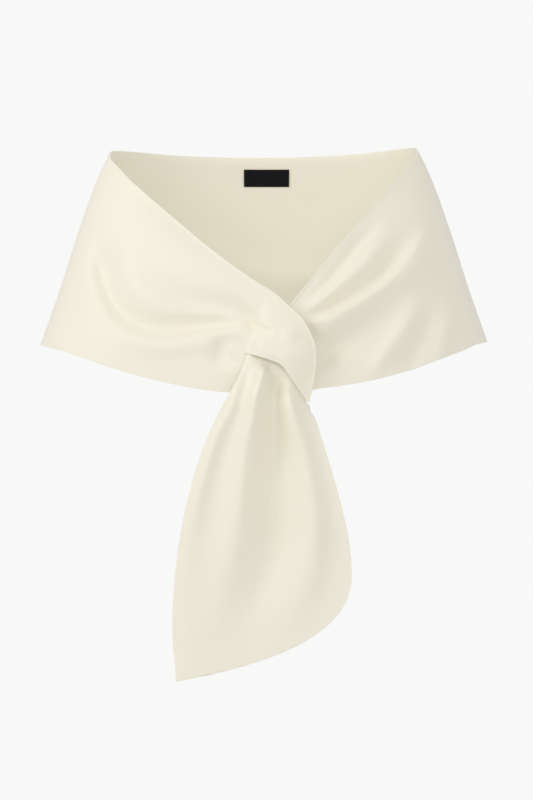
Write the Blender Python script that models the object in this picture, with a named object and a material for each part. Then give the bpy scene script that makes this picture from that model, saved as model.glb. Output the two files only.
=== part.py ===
"""Evening stole: one long strip of ivory satin, two plies bagged out, worn round the shoulders by nobody.

Its right end is drawn through a slot in its left end and hangs as a tail. Metres, +Z up, +X to the viewer's
right, +Y to the back. The origin lies between the shoulders, level with the sides of the top edge.
"""

from collections import namedtuple

import bmesh
import bpy
import numpy as np

WALL = 0.002  # two plies of satin
SEAM_GAP = 0.0003  # between the stretches of the strip, where their walls come nearest
SEAM_LEAN = 2.6  # how much wider that gap is outside, where the strip turns round the figure
SEAM_STEP = 0.01  # the stations to each side, and the places across, where a seam is measured
SEAM_SHARES = 5
BAND_GAP = 0.0075  # between the loop and the tongue under it, as a share of the strip on each side
SECTION_POWER = 2.3  # 2 is an ellipse, more is squarer
SECTION_BLEND = 0.05  # how softly a section passes its front, back and sides
SLOT_SHARE = 0.627  # where the slot starts, down the strip from its top edge
FLAT_REACH = 1.0  # stations over which folds die away towards a side seam
LABEL_WIDTH = 0.0528
LABEL_HEIGHT = 0.0197
LABEL_TOP = -0.0105
LABEL_SHIFT = 0.0023  # to the right of the middle
LABEL_WALL = 0.0008
LABEL_REACH = 0.4  # the sines and the samples that its turns are read from
LABEL_SAMPLES = 401
LABEL_STAND = 0.0005  # from the inside of the back, whose facets lie a little inside its curve

# Level sections of the figure that the strip goes round, from the top down.
Section = namedtuple("Section", "height half_width front back")
SECTIONS = (
    Section(0.012, 0.1660, 0.054, 0.098),
    Section(0.000, 0.1725, 0.060, 0.100),
    Section(-0.020, 0.1825, 0.072, 0.106),
    Section(-0.050, 0.1945, 0.088, 0.113),
    Section(-0.100, 0.2115, 0.110, 0.123),
    Section(-0.150, 0.2270, 0.124, 0.130),
    Section(-0.190, 0.2410, 0.130, 0.134),
    Section(-0.216, 0.2505, 0.132, 0.136),
    Section(-0.250, 0.2620, 0.132, 0.137),
    Section(-0.300, 0.2760, 0.132, 0.138),
)

# The strip round the body: its top edge and hem at each station, from the slot's start by the left side (a turn
# of 90 degrees), the back (180) and the right side (270) to the fan behind the loop. Lift is how far the cloth
# stands off the figure.
Station = namedtuple("Station", "top_turn top_height top_lift hem_turn hem_height hem_lift")
STRIP = (
    Station(-1.9, -0.1640, 0.010, 2.8, -0.2730, 0.003),
    Station(0.3, -0.1555, 0.009, 5.3, -0.2703, 0.004),
    Station(5.8, -0.1363, 0.006, 11.1, -0.2671, 0.003),
    Station(14.4, -0.1099, 0.002, 18.8, -0.2606, 0.001),
    Station(24.9, -0.0818, 0.000, 28.2, -0.2515, 0.000),
    Station(36.1, -0.0578, 0.000, 37.5, -0.2422, 0.000),
    Station(48.8, -0.0363, 0.000, 48.9, -0.2312, 0.000),
    Station(64.0, -0.0175, 0.000, 65.0, -0.2210, 0.000),
    Station(90.0, 0.0005, 0.000, 90.0, -0.2160, 0.000),
    Station(117.0, 0.0055, 0.000, 117.0, -0.2180, 0.000),
    Station(150.0, 0.0040, 0.000, 150.0, -0.2250, 0.000),
    Station(180.0, 0.0028, 0.000, 180.0, -0.2280, 0.000),
    Station(210.0, 0.0052, 0.000, 210.0, -0.2225, 0.000),
    Station(243.0, 0.0082, 0.000, 243.0, -0.2135, 0.000),
    Station(270.0, 0.0045, 0.000, 270.0, -0.2125, 0.000),
    Station(294.4, -0.0125, 0.000, 291.5, -0.2160, 0.000),
    Station(308.0, -0.0295, 0.000, 305.0, -0.2253, 0.000),
    Station(318.0, -0.0480, 0.000, 315.0, -0.2338, 0.000),
    Station(325.6, -0.0645, 0.000, 322.5, -0.2418, 0.000),
    Station(332.3, -0.0828, 0.000, 328.0, -0.2477, 0.000),
    Station(338.0, -0.1008, 0.000, 333.0, -0.2526, 0.000),
    Station(342.9, -0.1186, 0.000, 337.6, -0.2570, 0.000),
    Station(347.0, -0.1361, 0.000, 341.8, -0.2603, 0.000),
    Station(350.7, -0.1536, 0.000, 346.0, -0.2634, 0.000),
    Station(353.6, -0.1690, 0.000, 349.6, -0.2655, 0.000),
    Station(355.4, -0.1795, 0.001, 351.9, -0.2680, 0.002),
    Station(357.5, -0.1903, 0.004, 352.3, -0.2714, 0.003),
    Station(359.8, -0.2054, 0.006, 352.5, -0.2746, 0.004),
    Station(361.4, -0.2193, 0.007, 352.8, -0.2772, 0.005),
)
SLOT_STATION = 1
LEFT_SIDE = 9.3  # these two lie behind the outline
RIGHT_SIDE = 12.7
FAN_END = 27
TUCKED_END = 26  # by here the right side's folds have died away, over the stations of the next value
TUCKED_REACH = 2
GATHERED = 0.008  # how far the cloth bows out where it fans behind the loop, as it does on in the tail

# The slotted end of the strip: the loop's outer edge, the slot's edge on the loop and on the tongue under it,
# and the tongue's hem, from the slot's start to the tip.
Slotted = namedtuple(
    "Slotted",
    "outer_turn outer_height outer_lift slot_turn slot_height loop_lift tongue_lift hem_turn hem_height hem_lift",
)
SLOTTED_END = (
    Slotted(-1.9, -0.1640, 0.010, 1.6, -0.2302, 0.0200, 0.000, 2.8, -0.2730, 0.003),
    Slotted(-4.6, -0.1777, 0.012, 0.0, -0.2334, 0.0235, 0.000, 0.8, -0.2751, 0.002),
    Slotted(-7.1, -0.1905, 0.014, -1.3, -0.2363, 0.0240, 0.000, -0.6, -0.2772, 0.001),
    Slotted(-8.9, -0.2087, 0.015, -2.7, -0.2407, 0.024, 0.000, -2.2, -0.2783, 0.000),
    Slotted(-9.6, -0.2268, 0.015, -4.1, -0.2518, 0.021, 0.000, -3.7, -0.2794, 0.000),
    Slotted(-8.8, -0.2544, 0.013, -5.5, -0.2640, 0.015, 0.000, -5.2, -0.2799, 0.000),
    Slotted(-7.5, -0.2795, 0.009, -7.1, -0.2778, 0.009, 0.000, -6.6, -0.2804, 0.000),
)
LOOP_END = len(SLOTTED_END) + 1
TONGUE_START = 0.04  # stations past the seam, clear of the left front's inner side
TONGUE_END = len(SLOTTED_END) - 0.3
LOOP_EASE = 4.0  # stations over which the loop starts to round over
LIP_ROLL = 0.0022  # how far the loop's lip turns in, over the last of its width
LIP_FROM = 0.88

# The tail's edges down to the rounded end, with the depth of each and the belly of the cloth between them.
Row = namedtuple("Row", "left_x left_z left_y right_x right_z right_y belly")
TAIL = (
    Row(0.0017, -0.2055, -0.1380, 0.0458, -0.2746, -0.1352, 0.0080),
    Row(-0.0100, -0.2193, -0.1376, 0.0442, -0.2772, -0.1354, 0.0082),
    Row(-0.0185, -0.2299, -0.1379, 0.0448, -0.2799, -0.1358, 0.0085),
    Row(-0.0270, -0.2512, -0.1405, 0.0480, -0.2841, -0.1368, 0.0105),
    Row(-0.0366, -0.2693, -0.1430, 0.0496, -0.2905, -0.1395, 0.011),
    Row(-0.0504, -0.2948, -0.1435, 0.0545, -0.2990, -0.1415, 0.007),
    Row(-0.0663, -0.3309, -0.1440, 0.0649, -0.3309, -0.1430, 0.000),
    Row(-0.0791, -0.3734, -0.1430, 0.0777, -0.3734, -0.1420, 0.000),
    Row(-0.0882, -0.4138, -0.1420, 0.0876, -0.4138, -0.1410, 0.000),
    Row(-0.0939, -0.4521, -0.1410, 0.0920, -0.4436, -0.1400, 0.000),
    Row(-0.0973, -0.4903, -0.1400, 0.0928, -0.4563, -0.1400, 0.000),
    Row(-0.0979, -0.5328, -0.1400, 0.0930, -0.4616, -0.1400, 0.000),
    Row(-0.0939, -0.5775, -0.1400, 0.0928, -0.4648, -0.1400, 0.000),
)
TAIL_START = 0.24  # clear of the fan's end
ROUNDING_FROM = 7  # the row from which the tail's lines lean towards its rounded end
TAIL_END_HANDLES = ((-0.010, -0.5626), (0.094, -0.5328))  # of the curve between the tail's two lower corners
BOW_POWER = 0.8  # below 1, a bow is fuller near its edges than an arc

# The largest folds: ridges stand out by a positive height, troughs sink by a negative one. Each follows a route
# of x and z that runs away from the knot or down the tail, widens along it by its spread, and fades over a share
# of its length at each end.
Fold = namedtuple("Fold", "height width spread fade_in fade_out route")
LEFT_FOLDS = (
    Fold(-0.0125, 0.0080, 2.2, 0.25, 0.22, ((0.000, -0.197), (-0.045, -0.196), (-0.101, -0.202),
                                            (-0.151, -0.187), (-0.177, -0.138), (-0.184, -0.080))),
    Fold(-0.0078, 0.0065, 2.4, 0.25, 0.4, ((0.008, -0.203), (-0.020, -0.188), (-0.052, -0.176),
                                           (-0.108, -0.158), (-0.152, -0.100))),
    Fold(0.0032, 0.0100, 1.6, 0.3, 0.4, ((-0.037, -0.212), (-0.072, -0.217), (-0.109, -0.220),
                                         (-0.139, -0.213), (-0.165, -0.195))),
    Fold(-0.0060, 0.0110, 1.5, 0.4, 0.4, ((-0.046, -0.203), (-0.045, -0.225), (-0.047, -0.250))),
    Fold(-0.0060, 0.0150, 1.0, 0.4, 0.5, ((0.034, -0.184), (-0.020, -0.133), (-0.097, -0.077),
                                          (-0.148, -0.027))),
)
RIGHT_FOLDS = (
    Fold(-0.0060, 0.0065, 1.3, 0.15, 0.45, ((0.038, -0.180), (0.063, -0.159), (0.096, -0.116),
                                            (0.134, -0.068))),
    Fold(0.0090, 0.0090, 1.5, 0.2, 0.4, ((0.040, -0.184), (0.084, -0.153), (0.128, -0.108),
                                         (0.150, -0.082))),
    Fold(0.0135, 0.0110, 1.6, 0.2, 0.35, ((0.046, -0.202), (0.100, -0.176), (0.154, -0.132),
                                          (0.184, -0.080))),
    Fold(-0.0095, 0.0120, 1.5, 0.25, 0.4, ((0.054, -0.246), (0.090, -0.208), (0.148, -0.160),
                                           (0.176, -0.132))),
    Fold(0.0065, 0.0105, 1.2, 0.35, 0.4, ((0.108, -0.262), (0.124, -0.236), (0.160, -0.184),
                                          (0.172, -0.158))),
    Fold(0.0045, 0.0120, 1.0, 0.35, 0.4, ((0.180, -0.248), (0.191, -0.222), (0.202, -0.160))),
)
TAIL_FOLDS = (
    Fold(0.0070, 0.0060, 2.1, 0.15, 0.45, ((-0.022, -0.240), (-0.037, -0.288), (-0.061, -0.343),
                                           (-0.080, -0.430), (-0.083, -0.470))),
    Fold(0.0135, 0.0060, 3.6, 0.10, 0.50, ((-0.001, -0.238), (-0.010, -0.278), (-0.020, -0.331),
                                           (-0.031, -0.427), (-0.062, -0.566))),
    Fold(-0.0120, 0.0075, 3.2, 0.15, 0.45, ((0.014, -0.246), (0.012, -0.280), (0.009, -0.384),
                                            (0.002, -0.470), (-0.030, -0.560))),
    Fold(0.0100, 0.0080, 2.4, 0.15, 0.45, ((0.020, -0.254), (0.041, -0.331), (0.053, -0.427),
                                           (0.047, -0.470), (0.006, -0.536))),
)
BACK_FOLDS = (
    Fold(-0.0050, 0.0160, 1.0, 0.3, 0.4, ((-0.120, -0.052), (-0.060, -0.104), (0.010, -0.134),
                                          (0.080, -0.132), (0.140, -0.104))),
    Fold(0.0045, 0.0180, 1.0, 0.3, 0.4, ((-0.160, -0.100), (-0.080, -0.156), (0.000, -0.178),
                                         (0.080, -0.172), (0.160, -0.136))),
)
ROUTE_SAMPLES = 40

# How finely each piece is divided, along the strip and across it.
Grid = namedtuple("Grid", "along across")
GRIDS = {
    "front_left": Grid(24, 17),
    "loop_band": Grid(15, 9),
    "loop_tongue": Grid(9, 4),
    "back": Grid(28, 9),
    "front_right": Grid(27, 17),
    "tail": Grid(27, 17),
    "label": Grid(6, 3),
}

Finish = namedtuple("Finish", "colour roughness metallic sheen")
SATIN = Finish((0.86, 0.81, 0.70, 1.0), 0.38, 0.0, 0.3)
WOVEN_BLACK = Finish((0.012, 0.012, 0.013, 1.0), 0.75, 0.0, 0.1)


def spline(rows, stations):
    """The rows' columns at fractional stations, on a Catmull-Rom spline through them."""
    table = np.array(rows, float)
    ends = np.vstack([2 * table[0] - table[1], table, 2 * table[-1] - table[-2]])
    stations = np.clip(np.asarray(stations, float), 0, len(table) - 1)
    first = np.minimum(stations.astype(int), len(table) - 2)
    t = (stations - first)[:, None]
    a, b, c, d = (ends[first + i] for i in range(4))
    return b + 0.5 * t * (c - a + t * (2 * a - 5 * b + 4 * c - d + t * (3 * (b - c) + d - a)))


def eased(t):
    """0 to 1 with level ends."""
    t = np.clip(t, 0.0, 1.0)
    return t * t * (3 - 2 * t)


def bowed(shares):
    """How a sheet bows out between two edges."""
    return (4 * np.clip(shares * (1 - shares), 0.0, 0.25)) ** BOW_POWER


def squared(share):
    """A sine pushed out towards a squarer section, smoothly past its zero."""
    return share * (share**2 + SECTION_BLEND**2) ** (1 / SECTION_POWER - 0.5)


def on_figure(turn, height, lift):
    """Points at this turn round the figure and this height, and the level direction that faces outwards there."""
    sections = np.array(SECTIONS[::-1])
    half_width, front, back = (np.interp(height, sections[:, 0], sections[:, i]) for i in (1, 2, 3))
    side, ahead = -np.sin(np.radians(turn)), -np.cos(np.radians(turn))
    depth = front + (back - front) * eased(0.5 + 2 * ahead)
    steepness = 2 - 2 / SECTION_POWER
    out = np.stack(
        [
            np.sign(side) * np.abs(side) ** steepness / half_width,
            np.sign(ahead) * np.abs(ahead) ** steepness / depth,
            np.zeros_like(side),
        ],
        axis=-1,
    )
    out /= np.linalg.norm(out, axis=-1, keepdims=True)
    points = np.stack([half_width * squared(side), depth * squared(ahead), height], axis=-1)
    return points + out * np.asarray(lift)[..., None], out


def fold_heights(folds, points):
    """How far the folds push the cloth out at each point, from the point's x and z."""
    total = np.zeros(len(points))
    for fold in folds:
        route = spline(fold.route, np.linspace(0, len(fold.route) - 1, ROUTE_SAMPLES))
        away = np.linalg.norm(points[:, None, [0, 2]] - route[None], axis=-1)
        share = away.argmin(axis=1) / (ROUTE_SAMPLES - 1)
        width = fold.width * (1 + (fold.spread - 1) * share)
        fade = eased(share / fold.fade_in) * eased((1 - share) / fold.fade_out)
        total += fold.height * fade * np.exp(-((away.min(axis=1) / width) ** 2))
    return total


def across_strip(stations, shares):
    """Turn, height and lift of the strip round the body, straight from its top edge to its hem."""
    rows = spline(STRIP, stations)
    return rows[:, :3] + (rows[:, 3:] - rows[:, :3]) * shares[:, None]


def worn(folds, *side_stations):
    """A rule for a stretch of the strip that goes round the body. Its folds die away towards its side seams."""

    def place(stations, shares):
        turn, height, lift = across_strip(stations, shares).T
        points, out = on_figure(turn, height, lift)
        relief = fold_heights(folds, points) * eased((TUCKED_END - stations) / TUCKED_REACH)
        for side in side_stations:
            relief = relief * eased(np.abs(stations - side) / FLAT_REACH)
        fanned = eased((stations - FAN_END + TUCKED_REACH) / TUCKED_REACH)
        points[:, 1] += np.sign(out[:, 1]) * (relief + GATHERED * bowed(shares) * fanned)
        return points

    return place


def slotted_rows():
    """The slotted end's stations from its start, where they continue the strip."""
    start = []
    for station in (SLOT_STATION + 1, SLOT_STATION):
        top, slot, hem = across_strip(np.full(3, station), np.array([0.0, SLOT_SHARE, 1.0]))
        start.append(Slotted(*top, *slot, slot[2], *hem))
    return tuple(start) + SLOTTED_END


def loop(stations, shares):
    """The rule for the band over the tail: it rounds over from its outer edge to the slot."""
    rows = spline(slotted_rows(), stations)
    turn = rows[:, 0] + (rows[:, 3] - rows[:, 0]) * shares
    height = rows[:, 1] + (rows[:, 4] - rows[:, 1]) * shares
    rounded = 1 - (1 - shares) ** 2
    rise = shares + (rounded - shares) * eased((stations - SLOT_STATION) / LOOP_EASE)
    roll = LIP_ROLL * eased((shares - LIP_FROM) / (1 - LIP_FROM))
    roll = roll * eased(stations - SLOT_STATION) * eased((LOOP_END - stations) / LOOP_EASE)
    points, out = on_figure(turn, height, rows[:, 2] + (rows[:, 5] - rows[:, 2]) * rise - roll)
    points[:, 1] += np.sign(out[:, 1]) * fold_heights(LEFT_FOLDS, points)
    return points


def tongue(stations, shares):
    """The rule for the cloth between the slot and the hem, under the tail."""
    rows = spline(slotted_rows(), stations)
    turn = rows[:, 3] + (rows[:, 7] - rows[:, 3]) * shares
    height = rows[:, 4] + (rows[:, 8] - rows[:, 4]) * shares
    points, out = on_figure(turn, height, rows[:, 6] + (rows[:, 9] - rows[:, 6]) * shares)
    points[:, 1] += np.sign(out[:, 1]) * fold_heights(LEFT_FOLDS, points) * eased(SLOT_STATION + 1 - stations)
    return points


def tail(stations, shares):
    """The rule for the hanging end: ruled from edge to edge, with its last lines bowed to the rounded end."""
    rows = spline(TAIL, stations)
    left, right = rows[:, [0, 2, 1]], rows[:, [3, 5, 4]]
    points = left + (right - left) * shares[:, None]
    points[:, 1] -= rows[:, 6] * bowed(shares)
    last = np.array(TAIL[-1])
    corners = (last[[0, 1]], *np.array(TAIL_END_HANDLES), last[[3, 4]])
    weights = ((1 - shares) ** 3, 3 * shares * (1 - shares) ** 2, 3 * shares**2 * (1 - shares), shares**3)
    end = sum(weight[:, None] * corner for weight, corner in zip(weights, corners))
    chord = last[[0, 1]] + (last[[3, 4]] - last[[0, 1]]) * shares[:, None]
    lean = np.clip((stations - ROUNDING_FROM) / (len(TAIL) - 1 - ROUNDING_FROM), 0.0, 1.0) ** 2
    points[:, [0, 2]] += (end - chord) * lean[:, None]
    points[:, 1] -= fold_heights(TAIL_FOLDS, points)
    return points


def label(sides, shares):
    """The rule for the label, inside the back: sides run from -1 to 1 across it, shares down it."""
    height = LABEL_TOP - LABEL_HEIGHT * shares
    half_width = np.interp(height, *np.array(SECTIONS[::-1]).T[:2])
    sines = np.linspace(-LABEL_REACH, LABEL_REACH, LABEL_SAMPLES)
    side = np.interp((LABEL_SHIFT + LABEL_WIDTH / 2 * sides) / half_width, squared(sines), sines)
    turn = 180 + np.degrees(np.arcsin(side))
    return on_figure(turn, height, np.full_like(turn, -WALL - LABEL_STAND))[0]


def seam(place, station):
    """The share of a station that opens half the seam's gap there, on the outside."""
    shares = np.linspace(0, 1, SEAM_SHARES)
    near = place(np.full(SEAM_SHARES, station - SEAM_STEP), shares)
    far = place(np.full(SEAM_SHARES, station + SEAM_STEP), shares)
    return SEAM_LEAN * SEAM_GAP * SEAM_STEP / np.linalg.norm(far - near, axis=1).min()


def material(name, finish):
    """A Principled material of its own for one piece."""
    made = bpy.data.materials.new(name)
    made.use_nodes = True
    shader = made.node_tree.nodes["Principled BSDF"]
    shader.inputs["Base Color"].default_value = finish.colour
    shader.inputs["Roughness"].default_value = finish.roughness
    shader.inputs["Metallic"].default_value = finish.metallic
    shader.inputs["Sheen Weight"].default_value = finish.sheen
    made.diffuse_color = finish.colour
    return made


def cloth(name, place, stations, shares, finish, wall=WALL):
    """One piece of cloth: a grid over its stations and shares, laid by its rule, with a wall on its inner side."""
    grid = GRIDS[name]
    mesh = bpy.data.meshes.new(name)
    bm = bmesh.new()
    bmesh.ops.create_grid(bm, x_segments=grid.along, y_segments=grid.across, size=0.5)
    plane = np.array([vert.co for vert in bm.verts])[:, :2] + 0.5
    points = place(
        stations[0] + (stations[1] - stations[0]) * plane[:, 0],
        shares[0] + (shares[1] - shares[0]) * plane[:, 1],
    )
    for vert, point in zip(bm.verts, points):
        vert.co = point
    bm.to_mesh(mesh)
    bm.free()
    mesh.shade_smooth()
    mesh.materials.append(material(name, finish))
    piece = bpy.data.objects.new(name, mesh)
    bpy.context.scene.collection.objects.link(piece)
    solidify = piece.modifiers.new("wall", "SOLIDIFY")
    solidify.thickness = wall
    solidify.offset = -1.0
    solidify.use_even_offset = True
    solidify.use_quality_normals = True
    return piece


def main():
    """Clears the scene and builds the stole piece by piece."""
    for left_over in list(bpy.data.objects):
        bpy.data.objects.remove(left_over)

    left = worn(LEFT_FOLDS, LEFT_SIDE)
    back = worn(BACK_FOLDS, LEFT_SIDE, RIGHT_SIDE)
    right = worn(RIGHT_FOLDS, RIGHT_SIDE)
    slot_gap = seam(left, SLOT_STATION)
    side_gap = seam(back, LEFT_SIDE)
    fan_gap = seam(right, FAN_END)
    whole = (0.0, 1.0)
    cloth("front_left", left, (SLOT_STATION + slot_gap, LEFT_SIDE - side_gap), whole, SATIN)
    cloth("loop_band", loop, (LOOP_END, SLOT_STATION + slot_gap), (0.0, 1 - BAND_GAP), SATIN)
    cloth("loop_tongue", tongue, (TONGUE_END, SLOT_STATION + slot_gap + TONGUE_START), (BAND_GAP, 1.0), SATIN)
    cloth("back", back, (LEFT_SIDE + side_gap, RIGHT_SIDE - side_gap), whole, SATIN)
    cloth("front_right", right, (RIGHT_SIDE + side_gap, FAN_END - fan_gap), whole, SATIN)
    cloth("tail", tail, (TAIL_START, len(TAIL) - 1.0), whole, SATIN)
    cloth("label", label, (-1.0, 1.0), whole, WOVEN_BLACK, wall=LABEL_WALL)


main()
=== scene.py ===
"""Evening stole: one long strip of ivory satin, with its right end drawn through a slot in its left.

The strip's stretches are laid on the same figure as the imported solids, finely enough for their folds to be
cloth. Metres, +Z up, +X to the viewer's right, +Y from the front to the back.
"""

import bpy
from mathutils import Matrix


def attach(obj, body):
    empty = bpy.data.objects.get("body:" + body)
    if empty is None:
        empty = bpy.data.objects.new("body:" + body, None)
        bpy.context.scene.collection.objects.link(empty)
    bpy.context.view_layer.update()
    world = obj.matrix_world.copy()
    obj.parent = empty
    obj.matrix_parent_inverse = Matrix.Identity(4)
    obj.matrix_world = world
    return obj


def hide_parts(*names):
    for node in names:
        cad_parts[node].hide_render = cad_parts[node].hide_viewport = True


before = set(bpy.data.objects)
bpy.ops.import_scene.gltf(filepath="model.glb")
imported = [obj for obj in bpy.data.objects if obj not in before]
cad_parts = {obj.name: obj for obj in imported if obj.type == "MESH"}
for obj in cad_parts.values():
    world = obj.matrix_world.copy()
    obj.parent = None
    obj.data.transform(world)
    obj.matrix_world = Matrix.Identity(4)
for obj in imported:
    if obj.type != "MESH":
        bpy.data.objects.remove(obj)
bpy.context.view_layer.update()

import logging
from collections.abc import Callable, Sequence
from dataclasses import dataclass
from enum import Enum

import bmesh
import bpy
import numpy as np
from mathutils import Vector

LOG = logging.getLogger("stole")
BODY = "root"
GRID_HALF = 0.5  # half the side of a flat grid, before it is laid
BOW_POWER = 0.8  # below 1, a bow is fuller near its edges than an arc
EVEN_SAMPLES = 600

Rows = Sequence[Sequence[float]]
Rule = Callable[[np.ndarray, np.ndarray], np.ndarray]
Colour = tuple[float, float, float, float]


class Slot(Enum):
    """The record's material slots."""

    SATIN = "satin"
    LABEL = "label"


class Side(Enum):
    """Which side of the figure a fold's route is drawn on."""

    FRONT = -1.0
    BACK = 1.0


def spline(rows: Rows, stations: np.ndarray) -> np.ndarray:
    """Read a table's columns between its rows, on a Catmull-Rom spline.

    Args:
        rows: the table, a row for each whole station.
        stations: fractional row numbers.

    Returns:
        A row of the table's columns for each station.
    """
    table = np.array(rows, float)
    ends = np.vstack([2 * table[0] - table[1], table, 2 * table[-1] - table[-2]])
    stations = np.clip(np.asarray(stations, float), 0, len(table) - 1)
    first = np.minimum(stations.astype(int), len(table) - 2)
    t = (stations - first)[:, None]
    a, b, c, d = (ends[first + i] for i in range(4))
    return b + 0.5 * t * (c - a + t * (2 * a - 5 * b + 4 * c - d + t * (3 * (b - c) + d - a)))


def eased(t: np.ndarray) -> np.ndarray:
    """Go from 0 to 1 with level ends."""
    t = np.clip(t, 0.0, 1.0)
    return t * t * (3 - 2 * t)


def bowed(shares: np.ndarray) -> np.ndarray:
    """Bow out between two edges, fuller near them than an arc."""
    return (4 * np.clip(shares * (1 - shares), 0.0, 0.25)) ** BOW_POWER


def lengths(points: np.ndarray) -> np.ndarray:
    """Measure how far along a line each of its points is."""
    steps = np.linalg.norm(np.diff(points, axis=0), axis=1)
    return np.concatenate([[0.0], np.cumsum(steps)])


def even_stations(rule: Rule, start: float, stop: float, share: float, count: int) -> np.ndarray:
    """Find stations that lie evenly apart along the cloth.

    Args:
        rule: the stretch's rule.
        start: first station.
        stop: last station.
        share: where across the strip the distances are measured.
        count: how many stations.

    Returns:
        The stations.
    """
    fine = np.linspace(start, stop, EVEN_SAMPLES)
    length = lengths(rule(fine, np.full_like(fine, share)))
    return np.interp(np.linspace(0, length[-1], count), length, fine)


@dataclass(frozen=True)
class Figure:
    """The general figure that the strip goes round, as level sections from the bottom up."""

    power: float = 2.3  # of the sections, which are squarer than an oval
    blend: float = 0.05
    front_to_back: float = 2.0  # how soon the back's depth takes over from the front's
    rounding: float = 0.012
    rounding_samples: int = 7
    sections: Rows = (
        # height, half width, front depth, back depth
        (-0.300, 0.2760, 0.132, 0.138),
        (-0.250, 0.2620, 0.132, 0.137),
        (-0.216, 0.2505, 0.132, 0.136),
        (-0.190, 0.2410, 0.130, 0.134),
        (-0.150, 0.2270, 0.124, 0.130),
        (-0.100, 0.2115, 0.110, 0.123),
        (-0.050, 0.1945, 0.088, 0.113),
        (-0.020, 0.1825, 0.072, 0.106),
        (0.000, 0.1725, 0.060, 0.100),
        (0.012, 0.1660, 0.054, 0.098),
    )

    def section(self, height: np.ndarray) -> np.ndarray:
        """Read the sections, with the corners between them rounded off.

        Args:
            height: heights.

        Returns:
            Half width, front depth and back depth for each height.
        """
        heights, *columns = np.array(self.sections).T
        offsets = np.linspace(-self.rounding, self.rounding, self.rounding_samples)
        around = np.asarray(height)[:, None] + offsets
        rounded = [np.interp(around, heights, column).mean(axis=1) for column in columns]
        return np.stack(rounded, axis=1)

    def squared(self, share: np.ndarray) -> np.ndarray:
        """Push a sine out towards a squarer section, smoothly past its zero."""
        return share * (share**2 + self.blend**2) ** (1 / self.power - 0.5)

    def lay(
        self, turn: np.ndarray, height: np.ndarray, lift: np.ndarray,
    ) -> tuple[np.ndarray, np.ndarray]:
        """Lay points on the figure.

        Args:
            turn: degrees round the body from the centre front, towards its left in the view.
            height: heights.
            lift: how far each point stands off.

        Returns:
            The points, and the level direction that faces outwards at each.
        """
        half_width, front, back = self.section(height).T
        side, ahead = -np.sin(np.radians(turn)), -np.cos(np.radians(turn))
        depth = front + (back - front) * eased(0.5 + ahead * self.front_to_back)
        reach = 2 / self.power
        x = half_width * self.squared(side)
        y = depth * self.squared(ahead)
        out = np.stack(
            [
                np.sign(side) * np.abs(side) ** (2 - reach) / half_width,
                np.sign(ahead) * np.abs(ahead) ** (2 - reach) / depth,
                np.zeros_like(x),
            ],
            axis=-1,
        )
        out /= np.linalg.norm(out, axis=-1, keepdims=True)
        return np.stack([x, y, height], axis=-1) + out * np.asarray(lift)[..., None], out

    def drawn(self, route: Rows, side: Side) -> np.ndarray:
        """Put a route of x and z on the figure's front or back.

        Args:
            route: x and z of each point.
            side: which side it is drawn on.

        Returns:
            The route's points.
        """
        x, z = np.array(route, float).T
        half_width, front, back = self.section(z).T
        reach = np.clip(np.abs(x) / half_width, 0.0, 1.0)
        depth = np.where(side is Side.FRONT, front, back) * (1 - reach**self.power) ** (1 / self.power)
        return np.stack([x, side.value * depth, z], axis=1)


@dataclass(frozen=True)
class Fold:
    """A ridge, or a trough where its height is negative, along a route that may widen as it goes."""

    height: float
    right_width: float  # of the slope on the right of the route, as it is travelled
    left_width: float
    route: Rows
    spread: float = 1.0  # how much wider it is at its end than at its start
    fade_in: float = 0.3
    fade_out: float = 0.3
    side: Side = Side.FRONT

    def push(self, line: np.ndarray, points: np.ndarray) -> np.ndarray:
        """Work out how far the fold pushes the cloth out.

        Args:
            line: the route as a fine line of points.
            points: places on the surface.

        Returns:
            A height for each point.
        """
        best = np.full(len(points), np.inf)
        share = np.zeros(len(points))
        turned = np.zeros(len(points))
        for i, (start, stop) in enumerate(zip(line[:-1], line[1:])):
            step = stop - start
            t = np.clip((points - start) @ step / (step @ step), 0.0, 1.0)
            away = points - start - t[:, None] * step
            distance = np.linalg.norm(away, axis=1)
            nearer = distance < best
            best[nearer] = distance[nearer]
            share[nearer] = ((i + t) / (len(line) - 1))[nearer]
            turned[nearer] = (step[0] * away[:, 2] - step[2] * away[:, 0])[nearer]
        on_left = eased(0.5 + turned / (np.linalg.norm(line[1] - line[0]) * self.right_width))
        width = self.right_width + (self.left_width - self.right_width) * on_left
        width = width * (1 + (self.spread - 1) * share)
        fade = eased(share / self.fade_in) * eased((1 - share) / self.fade_out)
        return self.height * fade * np.exp(-((best / width) ** 2))


@dataclass(frozen=True)
class Folds:
    """Some folds, and the surface that their routes are drawn on."""

    folds: tuple[Fold, ...]
    figure: Figure | None = None
    samples_each: int = 8
    reach: float = 2.6

    def route(self, fold: Fold) -> np.ndarray:
        """Draw one fold's route as a fine line of points.

        Args:
            fold: the fold.

        Returns:
            Its points.
        """
        count = (len(fold.route) - 1) * self.samples_each + 1
        fine = spline(fold.route, np.linspace(0, len(fold.route) - 1, count))
        if self.figure is None:
            return np.stack([fine[:, 0], np.zeros(count), fine[:, 1]], axis=1)
        return self.figure.drawn(fine, fold.side)

    def heights(self, points: np.ndarray) -> np.ndarray:
        """Add up how far the folds push the cloth out.

        Args:
            points: places on the surface, before any fold or lift.

        Returns:
            A height for each point.
        """
        total = np.zeros(len(points))
        for fold in self.folds:
            line = self.route(fold)
            reach = self.reach * max(fold.right_width, fold.left_width) * max(fold.spread, 1.0)
            above, below = points > line.min(axis=0) - reach, points < line.max(axis=0) + reach
            near = np.all(above & below, axis=1)
            if near.any():
                total[near] += fold.push(line, points[near])
        return total


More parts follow.
